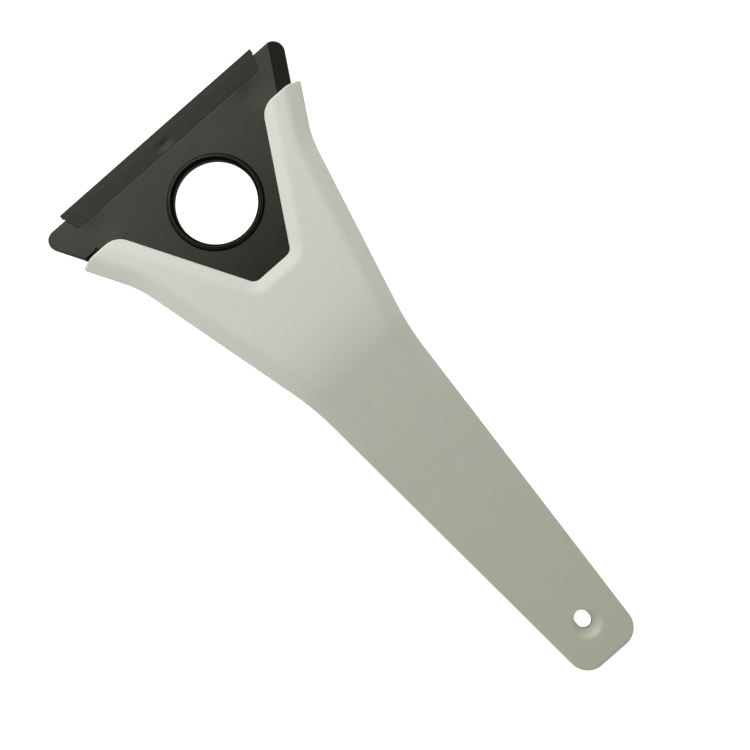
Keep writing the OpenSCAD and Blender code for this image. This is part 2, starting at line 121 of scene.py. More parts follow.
@named
class HandleSizes(bpy.types.PropertyGroup):
    """Sizes of the forked handle."""

    grip_length: length(160, "From the bend to the end, seen from above")
    fork_length: length(99.7, "From the bend to the tips, along the fork")
    end_w: length(29.5, "Width at the end of the grip")
    waist_w: length(50.1, "Width where the sides turn")
    waist_drop: length(6.2, "From the bend down to where the sides turn")
    shoulder_w: length(92.3, "Width across the shoulders")
    waist_t: length(14, "Thickness at the bend")
    tip_t: length(9.8, "Thickness across the tips")
    end_t: length(9.4, "Thickness at the end of the grip")
    tip_reach: length(16.8, "Finger hole's centre to the line of the tips")
    floor_reach: length(35.3, "Finger hole's centre to the floor of the opening")
    arm_overlap: length(13.2, "How far each arm reaches over the head")
    arm_wall: length(3.95, "From the head's edge to the outside of each arm")
    tip_slant: length(1.7, "How far a tip's outer corner lies back")
    rim_w: length(4.8, "Width of the sloping rim round the opening")
    rim_drop: length(1.5, "Depth of that slope at the opening")
    flank_w: length(6.4, "Width of the sloping flank along each arm")
    flank_drop: length(3.1, "Depth of that slope at the side")
    flank_high: length(24, "From the bend up the fork to where the flanks start to fade")
    flank_low: length(36, "From the bend down the grip to where they have ended")
    floor_r: length(4, "Radius of the opening's lower corners")
    inner_tip_r: length(9, "Radius of a tip's inner corner")
    tip_r: length(12, "Radius where a tip's slant begins")
    outer_tip_r: length(1.2, "Radius of a tip's outer corner")
    shoulder_r: length(45, "Radius of the outline at the shoulders")
    waist_r: length(120, "Radius of the outline at the waist")
    end_r: length(9, "Radius of the end's corners")
    bend_up: length(5, "From the bend up the fork to where the front face bends")
    bend_low: length(10, "Length of the front face's curve down the grip")
    bend_high: length(18, "Length of the front face's curve up the fork")
    back_bend: length(8, "Length of the back face's curve to each side of the bend")
    crease_r: length(7, "Radius along the flanks' and the rim's creases")
    edge_r: length(0.65, "Rounding of the outer edges")
    rim_edge_r: length(0.35, "Rounding of the opening's edge")
    end_top_r: length(1, "Rounding of the front face at the end")
    seam: length(0.25, "Chamfer where the two shells meet")
    slot_w: length(6.1, "Width of the hanging slot")
    slot_length: length(7.9, "Length of the hanging slot")
    slot_back: length(0.5, "From the slot's mount to its middle, towards the end")
    slot_edge_r: length(0.3, "Rounding of the slot's edge")
    scoop_r: length(5.5, "Radius of the dish beside the slot")
    scoop_back: length(3, "From the slot's middle to the dish's, towards the end")
    scoop_depth: length(2.6, "Depth of the dish beside the slot")
    head_gap: length(0.45, "Room round the head in its pocket")
    bore_r: length(2.9, "Radius of the bores over the screws")
    cap_r: length(2.85, "Radius of the caps in those bores")
    cap_t: length(1, "Thickness of the caps")
    cap_chamfer: length(0.25, "Chamfer round the caps")
    cap_dimple_r: length(0.9, "Radius of the mark in a cap's middle")
    cap_dimple_depth: length(0.25, "Depth of that mark")
    spring_room_w: length(6.6, "Width of the space for the leaf spring")
    spring_room_low: length(19.8, "From the bend to that space")
    spring_room_high: length(42.9, "From the bend to that space's far end")
    spring_room_h: length(4.35, "Height of that space over the head's middle")
    buffer_w: length(8, "Width of the space for the rubber buffer")
    buffer_low: length(5.2, "From the bend to that space")
    buffer_high: length(9.2, "From the bend to that space's far end")
    cell: length(0.8, "Spacing of the surface's points on the fork")
    grip_cell: length(4, "Spacing of the surface's points along the grip")


@named
class HeadSizes(bpy.types.PropertyGroup):
    """Sizes of the scraper head, its rubber and its ring."""

    plate_t: length(4, "Thickness of the plate")
    edge_reach: length(38.9, "Finger hole's centre to the two scraping edges")
    carrier_reach: length(35.1, "Finger hole's centre to the edge behind the rubber")
    corner_r: length(4.45, "Radius of the head's corners")
    bevel_w: length(5.9, "Width of the straight edge's bevel")
    edge_t: length(1.6, "Thickness left at the scraping edges")
    toothed_length: length(76.6, "Length of the toothed stretch")
    bevel_length: length(85.8, "Length of the bevel along the teeth")
    bevel_start: length(17.8, "Finger hole's centre up to where that bevel begins")
    tooth_gaps: IntProperty(description="Number of gaps between teeth", default=10, min=2)
    tooth_depth: length(5.3, "Depth of the gaps between teeth")
    tooth_land: length(0.8, "Bevel behind the gaps")
    dish_reach: length(47, "Finger hole's centre to the dishes in the corners")
    dish_depth: length(0.8, "Depth of the dish in the hidden corner")
    dish_r: length(5, "Radius of that dish")
    hint_r: length(7, "Radius of the worn dishes in the two corners that are seen")
    hint_depth: length(0.25, "Depth of those two dishes")
    edge_r: length(0.35, "Rounding of the plate's edges")
    bevel_r: length(2, "Radius along the bevel's crease")
    seam_r: length(0.13, "Rounding where the rubber and the plate meet")
    seam_gap: length(0.03, "Gap between the rubber and the plate")
    notch: length(0.4, "Size of the small notch at each end of the lip")
    hollow_w: length(9, "Width of the soft hollow in the rubber")
    hollow_h: length(2.2, "Height of the soft hollow in the rubber")
    hollow_reach: length(31, "Finger hole's centre to that hollow")
    hollow_depth: length(0.34, "Depth of that hollow")
    cell: length(1.2, "Spacing of the surface's points")
    lip_out: length(3.05, "How far the lip stands out past the plate")
    lip_w: length(102, "Length of the lip")
    lip_t: length(1.8, "Thickness at the lip's edge")
    lip_band: length(2, "Width of the thinner band along the lip")
    lip_groove: length(0.28, "Width and depth of the groove at the foot of the step")
    lip_step: length(1, "Step down to that band")
    seat_reach: length(28.9, "Finger hole's centre to the rubber's inner side")
    seat_depth: length(1.6, "Depth of the rubber's seat")
    seat_corner_r: length(2, "Radius of the seat's corners")
    finger_r: length(17, "Radius of the finger hole")
    ring_wall: length(1.5, "Wall of the ring inside the plate")
    ring_w: length(3, "Width of the ring's flanges")
    ring_rise: length(2, "Height of the ring above the plate")


@named
class Finishes(bpy.types.PropertyGroup):
    """Colours of the scraper."""

    grey: colour((0.522, 0.534, 0.477), "Plastic of the handle")
    black: colour((0.0045, 0.0055, 0.0035), "Plastic of the head")
    rubber: colour((0.0045, 0.0055, 0.0035), "Rubber of the blade")
    ring: colour((0.002, 0.0023, 0.0017), "Glossy plastic of the ring")
    steel: colour((0.55, 0.55, 0.57), "Screws, spring and rivet")
    floor: colour((0.4, 0.4, 0.4), "Floor of the stage, which also shines by itself")


@named
class StageSizes(bpy.types.PropertyGroup):
    """Sizes of the camera's view, the light and the floor."""

    view_x: FloatProperty(description="Middle of the view, across the handle", default=2.1 * MM, unit="LENGTH")
    view_y: FloatProperty(description="Middle of the view, along the handle", default=7.9 * MM, unit="LENGTH")
    view_w: length(300.85, "Width that the picture takes in at the handle's height")
    camera_h: length(2000, "Height of the camera over the handle's underside")
    level: length(12, "Height over the handle's underside at which the view's width is measured")
    turn: angle(-41.38, "Turn of the picture")
    floor_w: length(6000, "Width of the floor")
    floor_drop: length(14, "Depth of the floor below the handle, so that the drawn-out head clears it")
    key_power: FloatProperty(description="Power of the soft light", default=2.0, unit="POWER")
    key_w: length(500, "Width of the soft light")
    key_distance: length(420, "Finger hole's centre to the soft light")
    key_tilt: angle(47, "From straight above down to the soft light")
    key_turn: angle(8, "From the head's end round to the soft light")
    key_tint: colour((0.98, 0.98, 1), "Colour of the soft light")
    ambient: FloatProperty(description="Strength of the light all round", default=1.0)
    ambient_slant: FloatProperty(description="How much more of it comes from the head's end", default=0.4)
    ambient_tint: colour((1, 1, 0.925), "Colour of the light all round")


# Plane geometry


def side_x(reach, y):
    """Half the width between the head's long sides, at a height above the finger hole's centre."""
    return (reach + y * math.sin(SIDE_ANGLE)) / math.cos(SIDE_ANGLE)


def rounded(corners, closed=True):
    """Points of an outline or a path whose corners (x, y, radius) are rounded."""
    points = []
    count = len(corners)
    for i, (x, y, radius) in enumerate(corners):
        here = Vector((x, y))
        if radius == 0 or not closed and i in (0, count - 1):
            points.append(here)
            continue
        before = (Vector(corners[i - 1][:2]) - here).normalized()
        after = (Vector(corners[(i + 1) % count][:2]) - here).normalized()
        half = before.angle(after) / 2
        centre = here + (before + after).normalized() * radius / math.sin(half)
        first = here + before * radius / math.tan(half) - centre
        sweep = math.pi - 2 * half
        turn = -math.copysign(sweep, before.cross(after))
        steps = max(2, math.ceil(sweep / ARC_STEP), math.ceil(sweep * radius / ARC_CHORD))
        points += [centre + Matrix.Rotation(turn * k / steps, 2) @ first for k in range(steps + 1)]
    return points


def mirrored(corners):
    """An outline's left half, from its right half listed anticlockwise."""
    return [(-x, y, radius) for x, y, radius in reversed(corners)]


def distance(points, path):
    """Distance of each point from a path."""
    path = np.array([tuple(p) for p in path])
    starts = path[:-1]
    along = np.diff(path, axis=0)
    from_start = points[:, None] - starts
    share = np.clip((from_start * along).sum(2) / (along**2).sum(1), 0, 1)
    return np.linalg.norm(from_start - share[..., None] * along, axis=2).min(1)


def soft_min(a, b, blend):
    """The lower of two heights, joined by a soft crease."""
    part = np.maximum(blend - np.abs(a - b), 0) / blend
    return np.minimum(a, b) - part**2 * blend / 4


def soft_max(a, b, blend):
    """The higher of two heights, joined by a soft crease."""
    return -soft_min(-a, -b, blend)


def hollow(out, depth, softness, power=2):
    """Depth of a round hollow, at a distance from its middle that is 1 at its brim."""
    return soft_max(depth * (1 - out**power), 0 * out, depth * softness)


def blend_of(radius, slope):
    """The blend that gives a crease between two slopes its radius."""
    return radius * slope**2 / 2


def folded(points):
    """Points folded onto the right half."""
    return np.abs(points) * (1, 0) + points * (0, 1)


def circle(radius, sides):
    """Points of a circle about the origin."""
    angles = (math.tau * i / sides for i in range(sides))
    return [radius * Vector((math.cos(a), math.sin(a))) for a in angles]


def rounding(gap, radius):
    """How far a rounded edge lies below its face, at a distance from the edge."""
    inside = np.clip(radius - gap, 0, radius)
    return radius - np.sqrt(radius**2 - inside**2)


# Meshes


def sheet(loops, rings, cuts, mirror=False):
    """A flat sheet between closed loops, with rings along its edges and cuts (point, normal) across it.
    A mirrored sheet is cut on its right half alone."""
    bm = bmesh.new()
    marks = bm.faces.layers.int.new("core")
    edges = []
    for loop in loops:
        verts = [bm.verts.new((p.x, p.y, 0)) for p in loop]
        edges += [bm.edges.new(pair) for pair in zip(verts, verts[1:] + verts[:1])]
    bmesh.ops.triangle_fill(bm, use_beauty=True, use_dissolve=False, edges=edges, normal=(0, 0, 1))
    core = bm.faces[:]
    for width in rings:
        bmesh.ops.inset_region(bm, faces=core, thickness=width, use_boundary=True, use_even_offset=True)
    for face in core:
        face[marks] = 1
    cut(bm, (0, 0, 0), (1, 0, 0), clear=mirror)
    for side in (-1, 1):
        half = [f for f in bm.faces if f[marks] and f.calc_center_median().x * side > 0]
        if half:
            bmesh.ops.dissolve_faces(bm, faces=half, use_verts=False)

    # Points that split the middle line and nothing else could leave pinholes where the cuts meet them
    spare = [v for v in bm.verts if len(v.link_edges) == 2 and all(on_axis(e) for e in v.link_edges)]
    bmesh.ops.dissolve_verts(bm, verts=spare)
    for place, normal in cuts:
        cut(bm, place, normal)
    if mirror:
        bmesh.ops.mirror(bm, geom=bm.verts[:] + bm.edges[:] + bm.faces[:], axis="X", merge_dist=JOIN)
    bmesh.ops.remove_doubles(bm, verts=bm.verts[:], dist=JOIN)
    return bm


def on_axis(edge):
    """Whether an edge of a sheet lies along its middle line."""
    return all(abs(v.co.x) < JOIN for v in edge.verts)


def cut(bm, place, normal, clear=False):
    """Cuts every face along a plane, and can clear what lies behind it."""
    geom = bm.verts[:] + bm.edges[:] + bm.faces[:]
    bmesh.ops.bisect_plane(bm, geom=geom, dist=JOIN, plane_co=place, plane_no=normal, clear_inner=clear)


def steps(start, end, step):
    """Places from start to end, about a step apart."""
    count = max(1, round((end - start) / step))
    return [start + (end - start) * i / count for i in range(count + 1)]


def grid(rows, columns=()):
    """Cuts across a sheet at each row and column."""
    return [((0, y, 0), (0, 1, 0)) for y in rows] + [((x, 0, 0), (1, 0, 0)) for x in columns]


def raised(bm):
    """Gives a flat sheet walls and a copy above it, and returns the copy's points."""
    made = bmesh.ops.extrude_face_region(bm, geom=bm.faces[:], use_keep_orig=True)
    return [v for v in made["geom"] if isinstance(v, bmesh.types.BMVert)]


def thicken(bm, low, high):
    """Turns a flat sheet into a closed solid between two heights, each a function of the points."""
    upper = raised(bm)
    copied = set(upper)
    lower = [v for v in bm.verts if v not in copied]
    for verts, height in ((upper, high), (lower, low)):
        flat = np.array([v.co.xy for v in verts])
        for vert, z in zip(verts, height(flat)):
            vert.co.z = z
    bmesh.ops.recalc_face_normals(bm, faces=bm.faces[:])


def prism(points, low, high):
    """A closed prism on an outline."""
    bm = bmesh.new()
    bm.faces.new([bm.verts.new((p.x, p.y, low)) for p in points])
    bmesh.ops.translate(bm, vec=(0, 0, high - low), verts=raised(bm))
    bmesh.ops.recalc_face_normals(bm, faces=bm.faces[:])
    return bm


def block(size, centre):
    """A closed box."""
    bm = bmesh.new()
    bmesh.ops.create_cube(bm, size=1, matrix=Matrix.LocRotScale(Vector(centre), None, Vector(size)))
    return bm


def drum(radius, height):
    """A closed upright cylinder below the origin."""
    bm = bmesh.new()
    sizes = {"radius1": radius, "radius2": radius, "depth": height}
    middle = Matrix.Translation((0, 0, -height / 2))
    bmesh.ops.create_cone(bm, cap_ends=True, segments=BORE_SIDES, matrix=middle, **sizes)
    return bm


def joined(*parts):
    """One bmesh from several (bmesh, place)."""
    whole = bmesh.new()
    for bm, place in parts:
        bm.transform(place)
        mesh = bpy.data.meshes.new("part")
        bm.to_mesh(mesh)
        bm.free()
        whole.from_mesh(mesh)
        bpy.data.meshes.remove(mesh)
    return whole


def make(name, bm):
    """A new object from a bmesh, which is freed."""
    mesh = bpy.data.meshes.new(name)
    bm.to_mesh(mesh)
    bm.free()
    piece = bpy.data.objects.new(name, mesh)
    bpy.context.scene.collection.objects.link(piece)
    return piece


def put(data, place, turn):
    """A lamp or a camera, placed and turned."""
    thing = bpy.data.objects.new(data.name, data)
    thing.location = place
    thing.rotation_euler = turn
    bpy.context.scene.collection.objects.link(thing)
    return thing


def carve(piece, *others):
    """Cuts other shapes out of a piece, and frees them."""
    for bm in others:
        tool = make("tool", bm)
        change = piece.modifiers.new("cut", "BOOLEAN")
        change.operation = "DIFFERENCE"
        change.solver = "EXACT"
        change.object = tool
        bpy.context.view_layer.update()
        made = bpy.data.meshes.new_from_object(piece.evaluated_get(bpy.context.evaluated_depsgraph_get()))
        piece.modifiers.clear()
        old = piece.data
        made.name = old.name
        piece.data = made
        bpy.data.meshes.remove(old)
        bpy.data.objects.remove(tool)
    if not piece.data.polygons:
        raise RuntimeError(f"{piece.name} has no faces left")


def shade(piece):
    """Smooth faces, and sharp edges where the surface turns."""
    bm = bmesh.new()
    bm.from_mesh(piece.data)
    bmesh.ops.remove_doubles(bm, verts=bm.verts[:], dist=JOIN)
    bmesh.ops.dissolve_degenerate(bm, edges=bm.edges[:], dist=JOIN)
    for face in bm.faces:
        face.smooth = True
    for edge in bm.edges:
        edge.smooth = edge.is_manifold and edge.calc_face_angle(0) < SHARP_ANGLE
    bm.to_mesh(piece.data)
    bm.free()


def finish_piece(piece, body, slot, node):
    """Shades a piece, gives it its slot with the slot's finish, puts it in its body and hides the node that it
    stands for.
    """
    shade(piece)
    piece.data.materials.clear()
    piece.data.materials.append(known(SLOT_FINISHES[slot]))
    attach(piece, body)
    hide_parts(node)


# The forked handle

# Where a tip's slant begins, as a share of the line from its inner to its outer corner
SLANT_SHARE = 0.7

# The slot's ends are rounded by this share of half its width, so that no two corners meet
SLOT_ROUND = 0.999

# The slot's wall, darkened with painted shade, reaches this share of the way over its rounded edge
SLOT_SHADE_SHARE = 0.3

# Softness of the thumb dish's brim, as a share of its depth
SCOOP_BLEND_SHARE = 0.25

# The dish deepens with this power of the way in from its brim: 1 is a cone, 2 a ball
SCOOP_POWER = 1.5

# Widths of the rings along the handle's edges
EDGE_RINGS = (0.08 * MM, 0.12 * MM, 0.2 * MM, 0.25 * MM)


class HandleForm:
    """The handle's outline and its surfaces, worked out from its sizes."""

    def __init__(self, s, head):
        self.s = s
        self.head = head
        self.hole_far = s.fork_length - s.tip_reach
        self.waist_y = HOLE.y - self.hole_far * math.cos(HEAD_TILT)
        self.waist_z = HOLE.z + self.hole_far * math.sin(HEAD_TILT)
        inner_reach = head.edge_reach - s.arm_overlap
        shoulder_reach = head.edge_reach + s.arm_wall
        shoulder_up = (s.shoulder_w / 2 * math.cos(SIDE_ANGLE) - shoulder_reach) / math.sin(SIDE_ANGLE)
        tip_y = self.plan_y(s.fork_length)
        inner_x = side_x(inner_reach, s.tip_reach)
        outer_x = side_x(shoulder_reach, s.tip_reach - s.tip_slant)
        slant_x = inner_x + (outer_x - inner_x) * SLANT_SHARE
        floor_x = side_x(inner_reach, -s.floor_reach)
        floor_y = self.plan_y(self.hole_far - s.floor_reach)
        end = (s.end_w / 2, END_Y, s.end_r)
        waist = (s.waist_w / 2, self.waist_y - s.waist_drop, s.waist_r)
        shoulder = (s.shoulder_w / 2, self.plan_y(self.hole_far + shoulder_up), s.shoulder_r)
        outer = (outer_x, self.plan_y(s.fork_length - s.tip_slant), s.outer_tip_r)
        slant = (slant_x, tip_y, s.tip_r)
        inner = (inner_x, tip_y, s.inner_tip_r)
        floor = (floor_x, floor_y, s.floor_r)
        half = [end, waist, shoulder, outer, slant, inner, floor]
        self.outline = rounded(half + mirrored(half))
        outside = [(0, tip_y, 0), slant, outer, shoulder, waist, end, (0, END_Y, 0)]
        self.outside = rounded(outside, closed=False)
        self.opening = rounded([(slant_x, tip_y, 0), inner, floor, (0, floor_y, 0)], closed=False)
        self.rim = rounded([self.past(floor, inner), floor, (0, floor_y, 0)], closed=False)
        self.flank = rounded([end, waist, shoulder, self.past(shoulder, outer)], closed=False)
        self.tip_y = tip_y
        self.slot_y = SLOT_Y - s.slot_back

    def past(self, a, b):
        """A point on the line from a to b, beyond b."""
        run = Vector(b[:2]) - Vector(a[:2])
        far = Vector(b[:2]) + run.normalized() * self.s.arm_overlap
        return (far.x, far.y, 0)

    def plan_y(self, far):
        """A distance along the fork, seen from above."""
        return self.waist_y + far * math.cos(HEAD_TILT)

    def line(self, points, end_z, waist_up, tip_up, low=JOIN, high=JOIN, shift=0):
        """Height of a bent surface, from its height at the end and its offsets at the bend and at the tips.
        It is curved from low below the bend to high above it."""
        s = self.s
        waist_z = self.waist_z + waist_up
        tip = Vector((self.plan_y(s.fork_length), self.waist_z - s.fork_length * math.sin(HEAD_TILT)))
        tip += tip_up * Vector((math.sin(HEAD_TILT), math.cos(HEAD_TILT)))
        fork_slope = (tip.y - waist_z) / (tip.x - self.waist_y)
        bend_z = waist_z + fork_slope * shift
        grip_slope = (bend_z - end_z) / (s.grip_length + shift)
        y = points[:, 1] - self.waist_y - shift
        inside = np.clip(y, -low, high) + low
        share = inside / (low + np.sqrt(low**2 + (high - low) * inside))
        curve = high * share**2 * fork_slope - low * (1 - share) ** 2 * grip_slope
        straight = np.minimum(y * grip_slope, y * fork_slope)
        return bend_z + np.where((y > -low) & (y < high), curve, straight)

    def middle(self, points):
        """Height of the surface in which the two shells meet."""
        return self.line(points, self.s.end_t / 2, 0, 0)

    def sunk(self, points):
        """How far the flanks, the rim and the rounded edges lie below a face."""
        s = self.s
        flat = folded(points)
        flank_slope = s.flank_drop / s.flank_w
        rim_slope = s.rim_drop / s.rim_w
        crease = blend_of(s.crease_r, flank_slope)
        share = np.clip((flat[:, 1] - self.waist_y + s.flank_low) / (s.flank_high + s.flank_low), 0, 1)
        flank = soft_max(s.flank_drop - distance(flat, self.flank) * flank_slope, 0 * share, crease)
        flank *= share**2 * (3 - 2 * share)
        crease = blend_of(s.crease_r, rim_slope)
        rim = soft_max(s.rim_drop - distance(flat, self.rim) * rim_slope, 0 * share, crease)
        outside = rounding(distance(flat, self.outside), s.edge_r)
        opening = rounding(distance(flat, self.opening), s.rim_edge_r)
        slot = rounding(self.slot_distance(flat), s.slot_edge_r)
        return np.maximum(flank, rim) + np.maximum(np.maximum(outside, opening), slot)

    def slot_distance(self, points):
        """Distance of each point from the slot's edge."""
        half = (self.s.slot_length - self.s.slot_w) / 2
        middle = [(0, self.slot_y - half), (0, self.slot_y + half)]
        return distance(points, middle) - self.s.slot_w / 2

    def scoop(self, points):
        """Depth of the thumb dish."""
        s = self.s
        centre_y = self.slot_y - s.scoop_back
        out = np.hypot(points[:, 0], points[:, 1] - centre_y) / s.scoop_r
        return hollow(out, s.scoop_depth, SCOOP_BLEND_SHARE, SCOOP_POWER)

    def seam(self, points):
        """Depth of the chamfer where the shells meet."""
        return np.clip(self.s.seam - distance(folded(points), self.outside), 0, self.s.seam)

    def front(self, points):
        """Height of the front face."""
        s = self.s
        face = self.line(points, s.end_t, s.waist_t / 2, s.tip_t / 2, s.bend_low, s.bend_high, s.bend_up)
        end = rounding(points[:, 1] - END_Y, s.end_top_r)
        edge = self.sunk(points)
        return face - np.maximum(edge, end) - self.scoop(points)

    def back(self, points):
        """Height of the back face."""
        s = self.s
        face = self.line(points, 0, -s.waist_t / 2, -s.tip_t / 2, s.back_bend, s.back_bend)
        return face + self.sunk(points)

    def sheet(self):
        """The flat sheet that both shells start from."""
        s = self.s
        half = (s.slot_length - s.slot_w) / 2
        r = s.slot_w / 2
        corners = ((r, r + half), (-r, r + half), (-r, -r - half), (r, -r - half))
        slot = rounded([(x, self.slot_y + y, r * SLOT_ROUND) for x, y in corners])
        scoop_low, scoop_high = SLOT_Y - 2 * s.scoop_r, SLOT_Y + s.scoop_r
        fade_end = self.waist_y - s.flank_low
        rows = steps(END_Y, scoop_low, s.cell) + steps(scoop_low, scoop_high, s.cell / 2)
        rows += steps(scoop_high, fade_end, s.grip_cell) + steps(fade_end, self.waist_y, s.cell)
        rows += steps(self.waist_y, self.tip_y, s.cell)
        columns = steps(0, max(p.x for p in self.outline), s.cell)
        cuts = grid(sorted(set(rows))[1:-1], columns[1:-1])
        return sheet([self.outline, slot], EDGE_RINGS, cuts, mirror=True)


def handle_form():
    """The handle's form from the sizes in the scene."""
    scene = bpy.context.scene
    return HandleForm(scene.scraper_handle, scene.scraper_head)


def in_head():
    """The head's own frame, about the centre of the finger hole."""
    return Matrix.Translation(HOLE) @ Matrix.Rotation(-HEAD_TILT, 4, "X")


def pocket(form):
    """The space in the handle that the head slides into."""
    s, head = form.s, form.head
    top = s.tip_reach * 2
    reach = head.edge_reach + s.head_gap
    side = side_x(reach, top)
    corner = (0, -reach / math.sin(SIDE_ANGLE), head.corner_r + s.head_gap)
    half = head.plate_t / 2 + s.head_gap
    bm = prism(rounded([corner, (side, top, 0), (-side, top, 0)]), -half, half)
    bm.transform(in_head())
    return bm


def room(form, w, low, high, h, middle_z=0):
    """A box-shaped space round the head's middle line, from low to high above the bend."""
    bm = block((w, high - low, h), (0, (low + high) / 2 - form.hole_far, middle_z))
    bm.transform(in_head())
    return bm


def spring_room(form):
    """The space over the head that the leaf spring and its rivet lie in."""
    s = form.s
    h = s.spring_room_h
    return room(form, s.spring_room_w, s.spring_room_low, s.spring_room_high, h, h / 2)


def buffer_room(form):
    """The space for the rubber buffer, below the head's hidden corner."""
    s = form.s
    return room(form, s.buffer_w, s.buffer_low, s.buffer_high, form.head.plate_t + 2 * s.head_gap)


def cap_places(form):
    """Each cap's node and place, square to the surface in which the shells meet."""
    grip_angle = math.atan2(form.waist_z - form.s.end_t / 2, form.s.grip_length)
    for row in frame["record"]["subparts"]:
        node = row["node"]
        if "_plug" in node:
            low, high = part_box(node)
            centre = (low + high) / 2
            tilt = -HEAD_TILT if centre.y > form.waist_y else grip_angle
            yield node, Matrix.Translation(centre) @ Matrix.Rotation(tilt, 4, "X")


def bores(form):
    """The bores from the back face to the screws' heads."""
    return joined(*((drum(form.s.bore_r, form.s.waist_t), place) for _, place in cap_places(form)))


def handle_shell(name, node, sign, *spaces):
    """Makes one grey half of the handle, without the spaces in it. The front's sign is 1, the back's -1."""
    form = handle_form()
    bm = form.sheet()
    faces = (lambda p: form.middle(p) + sign * form.seam(p), form.front if sign > 0 else form.back)
    thicken(bm, *faces[::sign])
    piece = make(name, bm)
    carve(piece, *(space(form) for space in spaces))
    finish_piece(piece, "handle", "handle_grey", node)

    # The wall inside the hanging slot gets its own darker finish: painted shade
    piece.data.materials.append(known(slot_wall_painted_shade))
    centres = np.array([face.center for face in piece.data.polygons])
    inside = form.slot_distance(centres[:, :2]) < form.s.slot_edge_r * SLOT_SHADE_SHARE
    piece.data.polygons.foreach_set("material_index", inside.astype(np.int32))


# The black head

# Width of a tooth gap at the edge as a share of the teeth's pitch, and at its root as a share of its mouth
TOOTH_GAP_SHARE = 0.46
TOOTH_ROOT_SHARE = 0.62

# Slope of the step at which the toothed bevel begins
START_SLOPE = 4

# The corners with a dish, turned from the head's X axis. The first lies hidden in the handle.
CORNERS = (math.radians(-90), math.radians(30), math.radians(150))

# Softness of the dishes' brims, as a share of their depth
DISH_BLEND_SHARE = 0.8

# Rows across a crease as shares of its radius, and how much wider they lie along the bevel
CREASE_ROWS = (-1, -0.6, -0.25, 0, 0.25, 0.6, 1)
BEVEL_SPREAD = 3

# How far the panel's outer corners stand in from the lip's ends, as a share of the lip's band
PANEL_BACK_SHARE = 0.25

# Slope of the thin band along the lip
LIP_FALL = 0.05

# How much gentler the hollow's outer side is than its inner side
HOLLOW_EASE = 0.45

# Softness of the hollow's brim, as a share of its depth
HOLLOW_BLEND_SHARE = 0.6

# Slant of the rubber's ends
SEAT_END_ANGLE = math.radians(18)

# Widths of the rings along the head's edges
PLATE_RINGS = (0.1 * MM, 0.25 * MM)

# Small room between the ring and the plate
RING_GAP = 0.1 * MM

# Half section of the ring over the plate: shares of the flange's width and of its rise
RING_SECTION = (
    (1, 0), (0.985, 0.1), (0.95, 0.25), (0.88, 0.48), (0.8, 0.67), (0.7, 0.82), (0.61, 0.92),
    (0.555, 0.965), (0.51, 0.99), (0.47, 1), (0.43, 0.97), (0.4, 0.89), (0.34, 0.68), (0.24, 0.34),
    (0.14, -0.02), (0.06, -0.33), (0.02, -0.5), (0, -0.6),
)

# The same for the end of the bore under the plate, which has no funnel
UNDER_SECTION = ((0, 0.8), (0.02, 0.92), (0.08, 0.99), (0.14, 1))

# The ring's dull bore, with its painted light, reaches out to this share of its flange's width
BORE_SHARE = 0.4

# Where the slope of a cap's mark ends, as a share of the mark's radius and of its depth
MARK_SLOPE = (0.6, 0.7)


